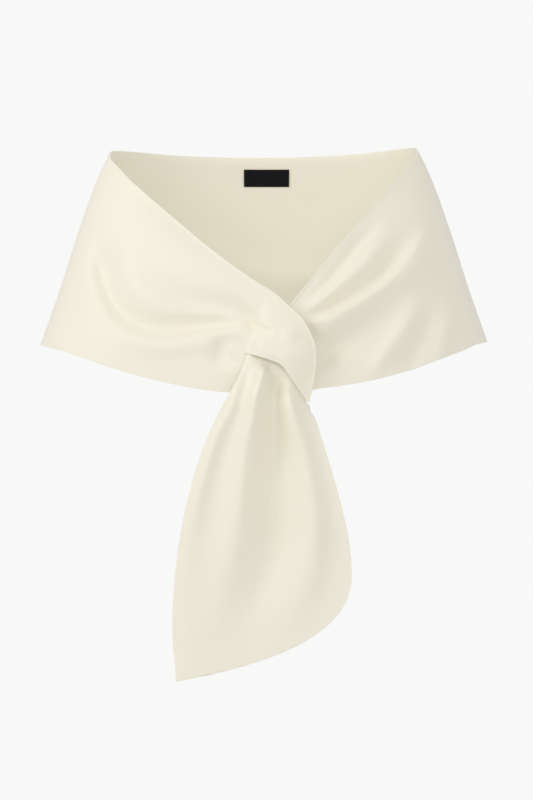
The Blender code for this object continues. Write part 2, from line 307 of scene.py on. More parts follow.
@dataclass(frozen=True)
class Strip:
    """The strip round the body, as rulings from its top edge to its hem."""

    figure: Figure = Figure()
    slot_share: float = 0.627
    stations: Rows = (
        # top turn, height and lift, hem turn, height and lift
        (-1.9, -0.1640, 0.010, 2.8, -0.2730, 0.003),
        (0.3, -0.1555, 0.009, 5.3, -0.2703, 0.004),
        (5.8, -0.1363, 0.006, 11.1, -0.2671, 0.003),
        (14.4, -0.1099, 0.002, 18.8, -0.2606, 0.001),
        (24.9, -0.0818, 0.000, 28.2, -0.2515, 0.000),
        (36.1, -0.0578, 0.000, 37.5, -0.2422, 0.000),
        (48.8, -0.0363, 0.000, 48.9, -0.2312, 0.000),
        (64.0, -0.0175, 0.000, 65.0, -0.2210, 0.000),
        (90.0, 0.0005, 0.000, 90.0, -0.2160, 0.000),
        (117.0, 0.0055, 0.000, 117.0, -0.2180, 0.000),
        (150.0, 0.0040, 0.000, 150.0, -0.2250, 0.000),
        (180.0, 0.0028, 0.000, 180.0, -0.2280, 0.000),
        (210.0, 0.0052, 0.000, 210.0, -0.2225, 0.000),
        (243.0, 0.0082, 0.000, 243.0, -0.2135, 0.000),
        (270.0, 0.0045, 0.000, 270.0, -0.2125, 0.000),
        (294.4, -0.0125, 0.000, 291.5, -0.2160, 0.000),
        (308.0, -0.0295, 0.000, 305.0, -0.2253, 0.000),
        (318.0, -0.0480, 0.000, 315.0, -0.2338, 0.000),
        (325.6, -0.0645, 0.000, 322.5, -0.2418, 0.000),
        (332.3, -0.0828, 0.000, 328.0, -0.2477, 0.000),
        (338.0, -0.1008, 0.000, 333.0, -0.2526, 0.000),
        (342.9, -0.1186, 0.000, 337.6, -0.2570, 0.000),
        (347.0, -0.1361, 0.000, 341.8, -0.2603, 0.000),
        (350.7, -0.1536, 0.000, 346.0, -0.2634, 0.000),
        (353.6, -0.1690, 0.000, 349.6, -0.2655, 0.000),
        (355.4, -0.1795, 0.001, 351.9, -0.2680, 0.002),
        (357.5, -0.1903, 0.004, 352.3, -0.2714, 0.003),
        (359.8, -0.2054, 0.006, 352.5, -0.2746, 0.004),
        (361.4, -0.2193, 0.007, 352.8, -0.2772, 0.005),
    )

    def ruling(self, stations: np.ndarray, shares: np.ndarray) -> np.ndarray:
        """Read turn, height and lift.

        Args:
            stations: stations along the strip.
            shares: shares of the way from its top edge to its hem.

        Returns:
            Turn, height and lift for each.
        """
        rows = spline(self.stations, stations)
        return rows[:, :3] + (rows[:, 3:] - rows[:, :3]) * shares[:, None]


# A fold is its height, its widths on the right and left of its route, the route in x and z away from the
# knot, its spread, and the shares of the route over which it fades in and out.
LEFT_FOLDS = (
    # the deep one under the bust, sharp on its outer side, and the softer one inside it
    Fold(-0.0125, 0.0095, 0.0050, ((0.000, -0.197), (-0.022, -0.194), (-0.045, -0.196), (-0.073, -0.199),
                                   (-0.101, -0.202), (-0.128, -0.199), (-0.151, -0.187), (-0.167, -0.164),
                                   (-0.177, -0.138), (-0.182, -0.112), (-0.184, -0.080)), 2.5, 0.25, 0.22),
    Fold(-0.0078, 0.0070, 0.0042, ((0.008, -0.203), (-0.008, -0.199), (-0.020, -0.188), (-0.032, -0.180),
                                   (-0.052, -0.176), (-0.080, -0.172), (-0.108, -0.158), (-0.134, -0.132),
                                   (-0.152, -0.100)), 2.8, 0.25, 0.4),
    # the ridge between the deep fold and the hem
    Fold(0.0032, 0.0110, 0.0090, ((-0.037, -0.212), (-0.072, -0.217), (-0.109, -0.220), (-0.139, -0.213),
                                  (-0.165, -0.195)), 1.6, 0.3, 0.4),
    # the dip beside the hanging end, and the spot of cloth raised in it
    Fold(-0.0060, 0.0080, 0.0150, ((-0.046, -0.203), (-0.045, -0.225), (-0.047, -0.250)), 1.5, 0.4, 0.4),
    Fold(0.0016, 0.0035, 0.0035, ((-0.034, -0.214), (-0.034, -0.226), (-0.035, -0.238)), 1.0, 0.4, 0.4),
    # the edge rolls back towards the body
    Fold(-0.0060, 0.0150, 0.0150, ((0.034, -0.184), (0.012, -0.160), (-0.020, -0.133), (-0.062, -0.108),
                                   (-0.097, -0.077), (-0.125, -0.049), (-0.148, -0.027)), 1.0, 0.4, 0.5),
)
RIGHT_FOLDS = (
    # the valley inside the rim
    Fold(-0.0060, 0.0055, 0.0065, ((0.038, -0.180), (0.063, -0.159), (0.079, -0.138), (0.096, -0.116),
                                   (0.115, -0.094), (0.134, -0.068)), 1.3, 0.15, 0.45),
    # the first ridge from the edge down, and the trough under it
    Fold(0.0090, 0.0090, 0.0080, ((0.040, -0.184), (0.060, -0.170), (0.084, -0.153), (0.107, -0.131),
                                  (0.128, -0.108), (0.150, -0.082)), 1.5, 0.2, 0.4),
    Fold(-0.0040, 0.0050, 0.0070, ((0.050, -0.190), (0.070, -0.176), (0.094, -0.160), (0.126, -0.137),
                                   (0.148, -0.112), (0.164, -0.090)), 1.4, 0.2, 0.4),
    # the broad ridge, steep above and long below, and the wide trough that it runs down into
    Fold(0.0135, 0.0180, 0.0060, ((0.046, -0.202), (0.070, -0.191), (0.100, -0.176), (0.130, -0.156),
                                  (0.154, -0.132), (0.172, -0.106), (0.184, -0.080)), 1.7, 0.2, 0.35),
    Fold(-0.0095, 0.0120, 0.0120, ((0.054, -0.246), (0.066, -0.230), (0.090, -0.208), (0.120, -0.184),
                                   (0.148, -0.160), (0.176, -0.132)), 1.5, 0.25, 0.4),
    # the slack cloth on the arm: a ridge, a trough and a last low ridge
    Fold(0.0065, 0.0110, 0.0100, ((0.108, -0.262), (0.124, -0.236), (0.143, -0.210), (0.160, -0.184),
                                  (0.172, -0.158)), 1.2, 0.35, 0.4),
    Fold(-0.0040, 0.0090, 0.0100, ((0.152, -0.258), (0.160, -0.232), (0.172, -0.204), (0.182, -0.176)),
         1.0, 0.35, 0.4),
    Fold(0.0045, 0.0120, 0.0120, ((0.180, -0.248), (0.191, -0.222), (0.199, -0.194), (0.202, -0.160)),
         1.0, 0.35, 0.4),
)
BACK_FOLDS = (
    # two slack troughs across the back, with a ridge between them
    Fold(-0.0050, 0.0180, 0.0140, ((-0.120, -0.052), (-0.060, -0.104), (0.010, -0.134), (0.080, -0.132),
                                   (0.140, -0.104)), 1.0, 0.3, 0.4, Side.BACK),
    Fold(0.0045, 0.0160, 0.0200, ((-0.160, -0.100), (-0.080, -0.156), (0.000, -0.178), (0.080, -0.172),
                                  (0.160, -0.136)), 1.0, 0.3, 0.4, Side.BACK),
    Fold(-0.0035, 0.0200, 0.0160, ((-0.190, -0.150), (-0.110, -0.196), (-0.020, -0.212), (0.060, -0.206)),
         1.0, 0.4, 0.4, Side.BACK),
)
TAIL_FOLDS = (
    # the left ridge, the long ridge beside the middle, the valley in the middle and the right ridge
    Fold(0.0070, 0.0062, 0.0056, ((-0.022, -0.240), (-0.030, -0.265), (-0.037, -0.288), (-0.050, -0.312),
                                  (-0.061, -0.343), (-0.074, -0.390), (-0.080, -0.430), (-0.083, -0.470)),
         2.1, 0.15, 0.45),
    Fold(0.0135, 0.0045, 0.0045, ((-0.001, -0.238), (-0.003, -0.252), (-0.010, -0.278), (-0.013, -0.300),
                                  (-0.020, -0.331), (-0.026, -0.384), (-0.031, -0.427), (-0.042, -0.470),
                                  (-0.054, -0.520), (-0.062, -0.566)), 5.2, 0.10, 0.50),
    Fold(-0.0120, 0.0075, 0.0070, ((0.014, -0.246), (0.0125, -0.262), (0.012, -0.280), (0.0115, -0.331),
                                   (0.009, -0.384), (0.010, -0.427), (0.002, -0.470), (-0.012, -0.515),
                                   (-0.030, -0.560)), 3.2, 0.15, 0.45),
    Fold(0.0100, 0.0080, 0.0075, ((0.020, -0.254), (0.025, -0.276), (0.031, -0.299), (0.041, -0.331),
                                  (0.051, -0.384), (0.053, -0.427), (0.047, -0.470), (0.030, -0.506),
                                  (0.006, -0.536)), 2.4, 0.15, 0.45),
    # the left edge turns away
    Fold(-0.0045, 0.0085, 0.0085, ((-0.036, -0.269), (-0.050, -0.295), (-0.066, -0.331), (-0.079, -0.373),
                                   (-0.088, -0.414), (-0.094, -0.452), (-0.097, -0.490), (-0.098, -0.533),
                                   (-0.094, -0.578)), 1.0, 0.25, 0.1),
)
KNOT_FOLDS = (
    # the short crease where the cloth bunches above the slot, and the swell of the knot
    Fold(-0.0042, 0.0026, 0.0075, ((0.012, -0.208), (0.002, -0.204), (-0.010, -0.198), (-0.026, -0.190)),
         1.3, 0.4, 0.4),
    Fold(0.0024, 0.0085, 0.0085, ((0.036, -0.215), (0.026, -0.209), (0.014, -0.206)), 1.0, 0.45, 0.45),
)


@dataclass(frozen=True)
class Wall:
    """How a laid sheet becomes a wall of cloth."""

    thickness: float = 0.0018
    rounding: float = 0.0006
    segments: int = 2

    def raise_from(self, bm: bmesh.types.BMesh) -> None:
        """Give the sheet its inner side and round its finished edges.

        Args:
            bm: a sheet that faces outwards, whose verts say whether they are on a finished edge.
        """
        finished = bm.verts.layers.int["finished"]
        origin = bm.verts.layers.int["origin"]
        bm.normal_update()
        normals = []
        for i, vert in enumerate(bm.verts):
            vert[origin] = i
            normals.append(vert.normal.copy())
        made = bmesh.ops.extrude_face_region(bm, geom=bm.faces[:], use_keep_orig=True)
        inner = [item for item in made["geom"] if isinstance(item, bmesh.types.BMVert)]
        for vert in inner:
            vert.co -= normals[vert[origin]] * self.thickness
        bmesh.ops.recalc_face_normals(bm, faces=bm.faces[:])
        rims = {
            face for face in bm.faces
            if len({vert[origin] for vert in face.verts}) < len(face.verts)
        }
        edges = [
            edge for edge in bm.edges
            if edge.verts[0][origin] != edge.verts[1][origin]
            and all(vert[finished] for vert in edge.verts)
            and not rims.isdisjoint(edge.link_faces)
        ]
        bmesh.ops.bevel(
            bm, geom=edges, offset=self.rounding, segments=self.segments, profile=0.5,
            affect="EDGES", material=-1, clamp_overlap=True,
        )


@dataclass
class ClothGrid:
    """A sheet of cloth as a grid, laid by a rule."""

    name: str
    columns: np.ndarray
    shares: np.ndarray
    rule: Rule
    joined_start: bool = False
    joined_end: bool = False
    wall: Wall = Wall()

    def sheet(self) -> bmesh.types.BMesh:
        """Make the flat grid.

        Returns:
            A square whose columns run along x and whose rows run along y.
        """
        bm = bmesh.new()
        along, across = len(self.columns) - 1, len(self.shares) - 1
        bmesh.ops.create_grid(bm, x_segments=along, y_segments=across, size=GRID_HALF)
        return bm

    def places(self, bm: bmesh.types.BMesh) -> tuple[np.ndarray, np.ndarray]:
        """Number the flat grid's verts, and read where each is.

        Args:
            bm: the flat grid.

        Returns:
            Each vert's column and row.
        """
        bm.verts.index_update()
        plane = np.array([vert.co[:2] for vert in bm.verts]) + GRID_HALF
        column = np.rint(plane[:, 0] * (len(self.columns) - 1)).astype(int)
        row = np.rint(plane[:, 1] * (len(self.shares) - 1)).astype(int)
        return column, row

    def mark(self, bm: bmesh.types.BMesh, column: np.ndarray, row: np.ndarray) -> None:
        """Note on each vert whether it is on a finished edge.

        Args:
            bm: the grid.
            column: each vert's column.
            row: each vert's row.
        """
        finished = bm.verts.layers.int.new("finished")
        bm.verts.layers.int.new("origin")
        last = len(self.columns) - 1
        for i, vert in enumerate(bm.verts):
            at_joint = (self.joined_start and column[i] == 0) or (self.joined_end and column[i] == last)
            if vert.is_boundary and (not at_joint or row[i] in (0, len(self.shares) - 1)):
                vert[finished] = 1

    def chart(self, bm: bmesh.types.BMesh, column: np.ndarray, row: np.ndarray) -> None:
        """Give the cloth a UV map of its own lengths, in metres.

        Args:
            bm: the laid grid.
            column: each vert's column.
            row: each vert's row.
        """
        middle_share = np.full(len(self.columns), self.shares[len(self.shares) // 2])
        middle_column = np.full(len(self.shares), self.columns[len(self.columns) // 2])
        along = lengths(self.rule(self.columns, middle_share))
        across = lengths(self.rule(middle_column, self.shares))
        layer = bm.loops.layers.uv.new("cloth")
        for face in bm.faces:
            for loop in face.loops:
                i = loop.vert.index
                loop[layer].uv = (along[column[i]], across[row[i]])

    def build(self, material: bpy.types.Material) -> bpy.types.Object:
        """Make the cloth, laid by its rule.

        Args:
            material: its finish.

        Returns:
            The piece.
        """
        bm = self.sheet()
        column, row = self.places(bm)
        return self.laid(bm, self.rule(self.columns[column], self.shares[row]), material)

    def laid(
        self, bm: bmesh.types.BMesh, points: np.ndarray, material: bpy.types.Material,
    ) -> bpy.types.Object:
        """Lay a flat grid and raise its wall.

        Args:
            bm: the flat grid.
            points: where each of its verts goes.
            material: its finish.

        Returns:
            The piece.
        """
        column, row = self.places(bm)
        for vert, point in zip(bm.verts, points):
            vert.co = point
        self.mark(bm, column, row)
        self.chart(bm, column, row)
        self.wall.raise_from(bm)
        return as_piece(self.name, bm, material)


def as_piece(name: str, bm: bmesh.types.BMesh, material: bpy.types.Material) -> bpy.types.Object:
    """Turn a bmesh into a smooth object with its finish.

    Args:
        name: the piece's name.
        bm: its shape, which is freed.
        material: its finish.

    Returns:
        The object.
    """
    mesh = bpy.data.meshes.new(name)
    bm.to_mesh(mesh)
    bm.free()
    mesh.shade_smooth()
    mesh.materials.append(material)
    piece = bpy.data.objects.new(name, mesh)
    bpy.context.scene.collection.objects.link(piece)
    return piece


@dataclass(frozen=True)
class SlottedEnd:
    """The strip's left end, from the slot's start to its tip: the loop above the slot, the tongue below."""

    strip: Strip = Strip()
    slot_station: int = 1
    stations: Rows = (
        # outer turn, height and lift, slot turn and height, lift on the loop and on the tongue,
        # hem turn, height and lift
        (-1.9, -0.1640, 0.010, 1.6, -0.2302, 0.0200, 0.000, 2.8, -0.2730, 0.003),
        (-4.6, -0.1777, 0.012, 0.0, -0.2334, 0.0235, 0.000, 0.8, -0.2751, 0.002),
        (-7.1, -0.1905, 0.014, -1.3, -0.2363, 0.0240, 0.000, -0.6, -0.2772, 0.001),
        (-8.9, -0.2087, 0.015, -2.7, -0.2407, 0.024, 0.000, -2.2, -0.2783, 0.000),
        (-9.6, -0.2268, 0.015, -4.1, -0.2518, 0.021, 0.000, -3.7, -0.2794, 0.000),
        (-8.8, -0.2544, 0.013, -5.5, -0.2640, 0.015, 0.000, -5.2, -0.2799, 0.000),
        (-7.5, -0.2795, 0.009, -7.1, -0.2778, 0.009, 0.000, -6.6, -0.2804, 0.000),
    )
    ease_over: float = 4.0  # stations over which the loop rounds over
    lip_roll: float = 0.0022  # how far the loop's lip rolls in, from a share of its width on
    lip_from: float = 0.88

    def rows(self) -> Rows:
        """Continue the strip's own rulings into the slotted end's.

        Returns:
            The slotted end's table, begun two stations earlier.
        """
        shares = np.array([0.0, self.strip.slot_share, 1.0])
        start = []
        for station in (self.slot_station + 1, self.slot_station):
            top, slot, hem = self.strip.ruling(np.full(len(shares), station), shares)
            start.append((*top, *slot, slot[2], *hem))
        return (*start, *self.stations)

    def loop(
        self, stations: np.ndarray, shares: np.ndarray,
    ) -> tuple[np.ndarray, np.ndarray, np.ndarray]:
        """Read the loop, which rounds over from its outer edge to the slot.

        Args:
            stations: 1 at the slot's start, 8 at the tip.
            shares: 0 at the outer edge, 1 at the slot.

        Returns:
            Turn, height and lift.
        """
        rows = spline(self.rows(), stations)
        rounded = 1 - (1 - shares) ** 2
        rise = shares + (rounded - shares) * eased((stations - 1) / self.ease_over)
        roll = self.lip_roll * eased((shares - self.lip_from) / (1 - self.lip_from))
        roll *= eased(stations - 1) * eased((len(self.stations) + 1 - stations) / self.ease_over)
        turn, height = (rows[:, i] + (rows[:, i + 3] - rows[:, i]) * shares for i in (0, 1))
        return turn, height, rows[:, 2] + (rows[:, 5] - rows[:, 2]) * rise - roll

    def tongue(
        self, stations: np.ndarray, shares: np.ndarray,
    ) -> tuple[np.ndarray, np.ndarray, np.ndarray]:
        """Read the tongue, which lies under the tail.

        Args:
            stations: 1 at the slot's start, 8 at the tip.
            shares: 0 at the slot, 1 at the hem.

        Returns:
            Turn, height and lift.
        """
        rows = spline(self.rows(), stations)
        turn, height = (rows[:, i] + (rows[:, i + 4] - rows[:, i]) * shares for i in (3, 4))
        return turn, height, rows[:, 6] + (rows[:, 9] - rows[:, 6]) * shares


@dataclass
class Shawl:
    """The strip from the tip of its slotted end, round the body, to where it fans out behind the loop."""

    end: SlottedEnd = SlottedEnd()
    fan_end: float = 27.0
    slotted_columns: int = 66  # spaced evenly at a share of the width
    slotted_spacing: float = 0.3
    worn_columns: int = 440
    worn_spacing: float = 0.5
    rows_above: int = 50
    rows_below: int = 30
    left_until: float = 11.0  # the station where the left folds give way to the right ones
    tucked_from: float = 25.0
    tucked_over: float = 2.0
    gathered: float = 0.008
    rim: float = 0.0012
    rim_share: float = 0.012
    flat: tuple[float, float] = (1.25, 0.23)

    def place(self, progress: np.ndarray, shares: np.ndarray, below: np.ndarray) -> np.ndarray:
        """Lay points of the sheet.

        Args:
            progress: 0 at the tip, 7 at the slot's start, then on by one for each of the strip's stations.
            shares: 0 at the top edge, 1 at the hem.
            below: whether each point is below the slot.

        Returns:
            The points.
        """
        end, strip = self.end, self.end.strip
        tip = len(end.stations)
        station = progress - tip + end.slot_station
        turn, height, lift = strip.ruling(station, shares).T
        slotted = progress < tip
        band = slotted & ~below
        turn[band], height[band], lift[band] = end.loop(
            tip + 1 - progress[band], shares[band] / strip.slot_share,
        )
        under = slotted & below
        turn[under], height[under], lift[under] = end.tongue(
            tip + 1 - progress[under], (shares[under] - strip.slot_share) / (1 - strip.slot_share),
        )
        base, out = strip.figure.lay(turn, height, np.zeros_like(turn))
        left = Folds(LEFT_FOLDS + KNOT_FOLDS, strip.figure).heights(base)
        left *= np.where(under, eased(progress - tip + 1.0), 1.0)
        right = Folds(RIGHT_FOLDS, strip.figure).heights(base)
        right *= eased((self.tucked_from + 1 - station) / self.tucked_over)
        relief = np.where(station < self.left_until, left, right)
        relief += Folds(BACK_FOLDS, strip.figure).heights(base)
        fanned = eased((station - self.tucked_from) / (self.fan_end - self.tucked_from))
        relief += self.gathered * bowed(shares) * fanned
        relief += self.rim * np.exp(-((shares / self.rim_share) ** 2))
        points = base + out * lift[:, None]
        points[:, 1] += np.sign(out[:, 1]) * relief
        return points

    def closed(self, progress: np.ndarray, shares: np.ndarray) -> np.ndarray:
        """Lay points of the sheet with its slot closed."""
        return self.place(progress, shares, shares > self.end.strip.slot_share)

    def build(self, material: bpy.types.Material) -> bpy.types.Object:
        """Make the sheet, open its slot and raise its wall.

        Args:
            material: its finish.

        Returns:
            The piece.
        """
        tip, share = len(self.end.stations), self.end.strip.slot_share
        last = tip + self.fan_end - self.end.slot_station
        slotted = even_stations(self.closed, 0.0, tip, self.slotted_spacing, self.slotted_columns)
        worn = even_stations(self.closed, tip, last, self.worn_spacing, self.worn_columns)
        columns = np.concatenate([slotted[:-1], worn])
        above = np.linspace(0, share, self.rows_above + 1)
        shares = np.concatenate([above[:-1], np.linspace(share, 1, self.rows_below + 1)])
        grid = ClothGrid("shawl", columns, shares, self.closed, joined_end=True)
        bm = grid.sheet()
        column, row = grid.places(bm)
        in_slot = (row == self.rows_above) & (column < self.slotted_columns)
        edges = [edge for edge in bm.edges if all(in_slot[vert.index] for vert in edge.verts)]
        bmesh.ops.split_edges(bm, edges=edges)
        column, row = grid.places(bm)
        slot_line = self.rows_above / (len(shares) - 1) - GRID_HALF
        below = [
            np.mean([face.calc_center_median().y for face in vert.link_faces]) > slot_line
            for vert in bm.verts
        ]
        piece = grid.laid(bm, self.place(columns[column], shares[row], np.array(below)), material)
        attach(piece, BODY)
        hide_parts("front_left", "loop_band", "loop_tongue", "back", "front_right")
        return piece


@dataclass
class Tail:
    """The hanging end, from the fan behind the loop to its rounded and pointed corners."""

    columns: int = 170  # spaced evenly at a share of the width
    spacing: float = 0.35
    cross_rows: int = 90
    rounding_from: int = 7
    handles: Rows = ((-0.010, -0.5626), (0.094, -0.5328))  # x and z, of the curve along the rounded end
    rows: Rows = (
        # left x, z and y, right x, z and y, belly
        (0.0017, -0.2055, -0.1380, 0.0458, -0.2746, -0.1352, 0.0080),
        (-0.0100, -0.2193, -0.1376, 0.0442, -0.2772, -0.1354, 0.0082),
        (-0.0185, -0.2299, -0.1379, 0.0448, -0.2799, -0.1358, 0.0085),
        (-0.0270, -0.2512, -0.1405, 0.0480, -0.2841, -0.1368, 0.0105),
        (-0.0366, -0.2693, -0.1430, 0.0496, -0.2905, -0.1395, 0.011),
        (-0.0504, -0.2948, -0.1435, 0.0545, -0.2990, -0.1415, 0.007),
        (-0.0663, -0.3309, -0.1440, 0.0649, -0.3309, -0.1430, 0.000),
        (-0.0791, -0.3734, -0.1430, 0.0777, -0.3734, -0.1420, 0.000),
        (-0.0882, -0.4138, -0.1420, 0.0876, -0.4138, -0.1410, 0.000),
        (-0.0939, -0.4521, -0.1410, 0.0920, -0.4436, -0.1400, 0.000),
        (-0.0973, -0.4903, -0.1400, 0.0928, -0.4563, -0.1400, 0.000),
        (-0.0979, -0.5328, -0.1400, 0.0930, -0.4616, -0.1400, 0.000),
        (-0.0939, -0.5775, -0.1400, 0.0928, -0.4648, -0.1400, 0.000),
    )

    def rule(self, stations: np.ndarray, shares: np.ndarray) -> np.ndarray:
        """Lay points of the tail, ruled from edge to edge and bowed to the rounded end.

        Args:
            stations: 0 at the fan, 12 at the end.
            shares: 0 at its left edge, 1 at its right.

        Returns:
            The points.
        """
        rows = spline(self.rows, stations)
        left, right = rows[:, [0, 2, 1]], rows[:, [3, 5, 4]]
        points = left + (right - left) * shares[:, None]
        points[:, 1] -= rows[:, 6] * bowed(shares)
        last = np.array(self.rows[-1])
        corners = (last[[0, 1]], *np.array(self.handles), last[[3, 4]])
        rest = 1 - shares
        weights = (rest**3, 3 * shares * rest**2, 3 * shares**2 * rest, shares**3)
        end = sum(weight[:, None] * corner for weight, corner in zip(weights, corners))
        chord = last[[0, 1]] + (last[[3, 4]] - last[[0, 1]]) * shares[:, None]
        span = len(self.rows) - 1 - self.rounding_from
        lean = np.clip((stations - self.rounding_from) / span, 0.0, 1.0) ** 2
        points[:, [0, 2]] += (end - chord) * lean[:, None]
        flat = points * (1.0, 0.0, 1.0)
        points[:, 1] -= Folds(TAIL_FOLDS).heights(flat)
        return points

    def build(self, material: bpy.types.Material) -> bpy.types.Object:
        """Make the tail.

        Args:
            material: its finish.

        Returns:
            The piece.
        """
        columns = even_stations(self.rule, 0.0, len(self.rows) - 1.0, self.spacing, self.columns)
        shares = np.linspace(0, 1, self.cross_rows)
        piece = ClothGrid("tail_cloth", columns, shares, self.rule, joined_start=True).build(material)
        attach(piece, BODY)
        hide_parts("tail")
        return piece


@dataclass(frozen=True)
class Board:
    """A node tree being wired."""

    tree: bpy.types.NodeTree

    def add(self, kind: str, values: dict[str | int, object], **settings: object) -> bpy.types.Node:
        """Add a node.

        Args:
            kind: its type.
            values: for each of its inputs by name or number, a value or the output that feeds it.
            settings: its own settings.

        Returns:
            The node.
        """
        node = self.tree.nodes.new(kind)
        for name, value in settings.items():
            setattr(node, name, value)
        for name, value in values.items():
            if isinstance(value, bpy.types.NodeSocket):
                self.tree.links.new(value, node.inputs[name])
            else:
                node.inputs[name].default_value = value
        return node


@dataclass(frozen=True)
class Weave:
    """A woven ground: slanting rows of floats, and uneven threads that run along the cloth."""

    float_scale: float = 0.32
    float_waver: float = 0.6
    float_detail: float = 1.0
    float_share: float = 0.5
    streaks: tuple[float, float, float] = (35.0, 900.0, 1.0)
    streak_detail: float = 3.0

    def build(self) -> bpy.types.NodeTree:
        """Make the node group.

        Returns:
            A group that takes a place on the cloth in metres and the threads in each metre, and gives the
            weave's height and its uneven threads.
        """
        tree = bpy.data.node_groups.new("woven_ground", "ShaderNodeTree")
        tree.interface.new_socket("Cloth", in_out="INPUT", socket_type="NodeSocketVector")
        tree.interface.new_socket("Threads", in_out="INPUT", socket_type="NodeSocketFloat")
        tree.interface.new_socket("Height", in_out="OUTPUT", socket_type="NodeSocketFloat")
        tree.interface.new_socket("Streaks", in_out="OUTPUT", socket_type="NodeSocketFloat")
        board = Board(tree)
        given = board.add("NodeGroupInput", {}).outputs
        counted = board.add(
            "ShaderNodeVectorMath", {0: given["Cloth"], "Scale": given["Threads"]}, operation="SCALE",
        )
        floats = board.add(
            "ShaderNodeTexWave",
            {
                "Vector": counted.outputs[0], "Scale": self.float_scale,
                "Distortion": self.float_waver, "Detail": self.float_detail,
            },
            wave_type="BANDS", bands_direction="DIAGONAL",
        )
        drawn = board.add("ShaderNodeVectorMath", {0: given["Cloth"], 1: self.streaks}, operation="MULTIPLY")
        uneven = board.add(
            "ShaderNodeTexNoise", {"Vector": drawn.outputs[0], "Scale": 1.0, "Detail": self.streak_detail},
        )
        height = board.add(
            "ShaderNodeMath", {0: floats.outputs["Fac"], 1: self.float_share, 2: uneven.outputs["Fac"]},
            operation="MULTIPLY_ADD",
        )
        board.add("NodeGroupOutput", {"Height": height.outputs[0], "Streaks": uneven.outputs["Fac"]})
        return tree


@dataclass(frozen=True)
class Cloth:
    """A woven finish: two close colours, a sheen, and its weave."""

    name: str
    colours: tuple[Colour, Colour]
    roughness: tuple[float, float]
    sheen: float
    threads: float
    thread_depth: float
    rumple_depth: float
    specular: float = 0.5
    thread_strength: float = 0.25
    rumple_scale: float = 26.0
    rumple_detail: float = 2.0
    rumple_strength: float = 0.35

    def build(self, weave: bpy.types.NodeTree) -> bpy.types.Material:
        """Make the material.

        Args:
            weave: the woven ground's node group.

        Returns:
            The material.
        """
        made = bpy.data.materials.new(self.name)
        made.use_nodes = True
        board = Board(made.node_tree)
        cloth = board.add("ShaderNodeUVMap", {}, uv_map="cloth")
        ground = board.add(
            "ShaderNodeGroup", {"Cloth": cloth.outputs["UV"], "Threads": self.threads}, node_tree=weave,
        )
        streaks = ground.outputs["Streaks"]
        colour = board.add(
            "ShaderNodeMix", {0: streaks, 6: self.colours[0], 7: self.colours[1]}, data_type="RGBA",
        )
        rough = board.add(
            "ShaderNodeMapRange",
            {"Value": streaks, "To Min": self.roughness[0], "To Max": self.roughness[1]},
        )
        place = board.add("ShaderNodeTexCoord", {})
        rumple = board.add(
            "ShaderNodeTexNoise",
            {"Vector": place.outputs["Object"], "Scale": self.rumple_scale, "Detail": self.rumple_detail},
        )
        soft = board.add(
            "ShaderNodeBump",
            {
                "Height": rumple.outputs["Fac"], "Distance": self.rumple_depth,
                "Strength": self.rumple_strength,
            },
        )
        fine = board.add(
            "ShaderNodeBump",
            {
                "Height": ground.outputs["Height"], "Distance": self.thread_depth,
                "Strength": self.thread_strength, "Normal": soft.outputs["Normal"],
            },
        )
        shader = made.node_tree.nodes["Principled BSDF"]
        shader.inputs["Sheen Weight"].default_value = self.sheen
        shader.inputs["Specular IOR Level"].default_value = self.specular
        made.node_tree.links.new(colour.outputs[2], shader.inputs["Base Color"])
        made.node_tree.links.new(rough.outputs["Result"], shader.inputs["Roughness"])
        made.node_tree.links.new(fine.outputs["Normal"], shader.inputs["Normal"])
        return made


IVORY_SATIN = Cloth(
    name="ivory_satin",
    colours=((0.934, 0.893, 0.758, 1.0), (0.924, 0.880, 0.742, 1.0)),
    roughness=(0.46, 0.54),
    sheen=0.10,
    threads=2600.0,
    thread_depth=0.00003,
    rumple_depth=0.0012,
)
BLACK_WOVEN = Cloth(
    name="black_woven",
    colours=((0.004, 0.004, 0.0045, 1.0), (0.008, 0.008, 0.009, 1.0)),
    roughness=(0.60, 0.75),
    sheen=0.0,
    threads=1500.0,
    thread_depth=0.00010,
    rumple_depth=0.0008,
    specular=0.12,
)


@dataclass(frozen=True)
class SoftLight:
    """A round soft light aimed at a point."""

    name: str
    size: float
    power: float
    place: tuple[float, float, float]
    aim: tuple[float, float, float]

    def hang(self) -> None:
        """Put it in the scene."""
        lamp = bpy.data.lights.new(self.name, "AREA")
        lamp.shape = "DISK"
        lamp.size = self.size
        lamp.energy = self.power
        light = bpy.data.objects.new(self.name, lamp)
        light.location = self.place
        light.rotation_euler = (Vector(self.aim) - light.location).to_track_quat("-Z", "Y").to_euler()
        bpy.context.scene.collection.objects.link(light)


